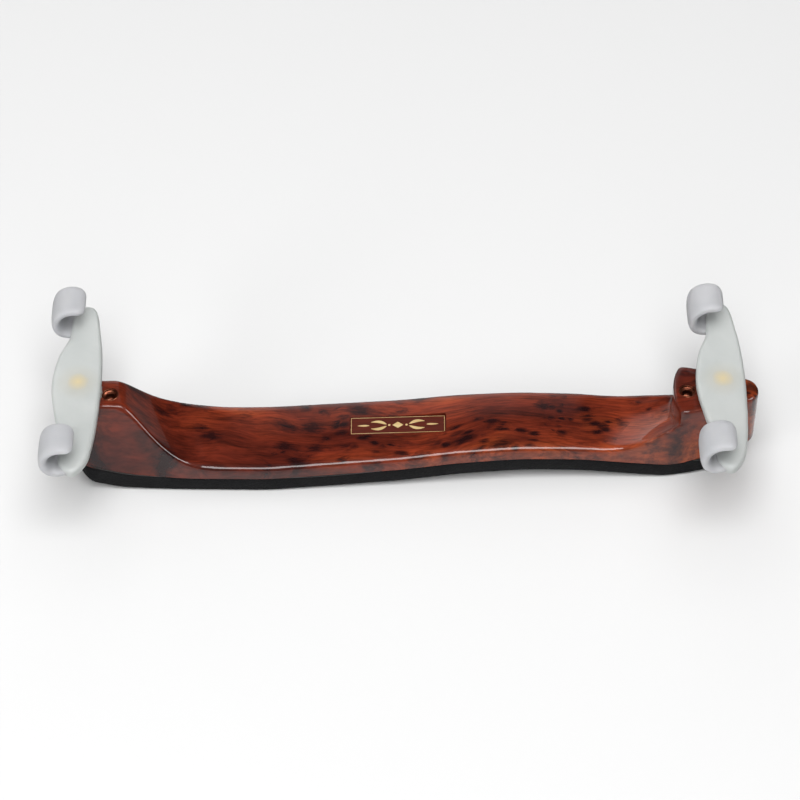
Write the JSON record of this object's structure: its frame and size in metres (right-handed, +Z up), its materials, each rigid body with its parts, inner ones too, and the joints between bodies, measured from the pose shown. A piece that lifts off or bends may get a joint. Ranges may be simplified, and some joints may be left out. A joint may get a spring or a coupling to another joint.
{
  "type": "violin shoulder rest",
  "caption": "S-shaped glossy body on a black foam pad, with a height-adjustable frosted fork at each end that grips a violin's edge.",
  "frame": {"origin": "bottom centre of the whole rest's box, on the surface that the foam stands on", "axes": "+X along the body towards the tapered end, +Y towards the back edge, +Z up from the foam to the forks"},
  "size_m": [0.2186, 0.068, 0.0472],
  "materials": {
    "burl_lacquer": "moulded body with a reddish-brown burl pattern under clear high-gloss lacquer",
    "black_foam": "closed-cell black foam, matt, fine pores",
    "adhesive_film": "thin dark double-sided film",
    "gilt_foil": "dark gilt-printed foil, satin",
    "brass": "turned brass, satin",
    "frosted_plastic": "frosted translucent nylon",
    "frosted_rubber": "frosted translucent soft elastomer",
    "wheel_plastic": "milky translucent plastic with moulded teeth"
  },
  "bodies": {
    "rest_body": {"body": "burl_lacquer", "emblem_plate": "gilt_foil", "foam_pad": "black_foam", "insert_left_inner": "brass", "insert_left_outer": "brass", "insert_right_inner": "brass", "insert_right_outer": "brass", "pad_adhesive": "adhesive_film"},
    "left_wheel": {"left_lock_wheel": "wheel_plastic"},
    "left_foot": {"left_stud": "brass", "left_collar": "brass", "left_fork": "frosted_plastic", "left_front_claw": "frosted_rubber", "left_rear_claw": "frosted_rubber"},
    "right_wheel": {"right_lock_wheel": "wheel_plastic"},
    "right_foot": {"right_stud": "brass", "right_collar": "brass", "right_fork": "frosted_plastic", "right_front_claw": "frosted_rubber", "right_rear_claw": "frosted_rubber"}
  },
  "joints": [
    {"name": "left_foot_turn", "type": "hinge", "parent": "rest_body", "child": "left_wheel", "pos_m": [-0.09954, 0.00175, 0.0302], "axis": [0, 0, 1], "range_deg": [0, 4860]},
    {"name": "left_foot_height", "type": "slide", "parent": "left_wheel", "child": "left_foot", "axis": [0, 0, 1], "range_m": [0, 0.00945]},
    {"name": "right_foot_turn", "type": "hinge", "parent": "rest_body", "child": "right_wheel", "pos_m": [0.09766, 0.00275, 0.0307], "axis": [0, 0, 1], "range_deg": [0, 4860]},
    {"name": "right_foot_height", "type": "slide", "parent": "right_wheel", "child": "right_foot", "axis": [0, 0, 1], "range_m": [0, 0.00945]}
  ],
  "couplings": [
    {"joint": "left_foot_height", "follows": "left_foot_turn", "m_per_rad": 0.00011141},
    {"joint": "right_foot_height", "follows": "right_foot_turn", "m_per_rad": 0.00011141}
  ]
}
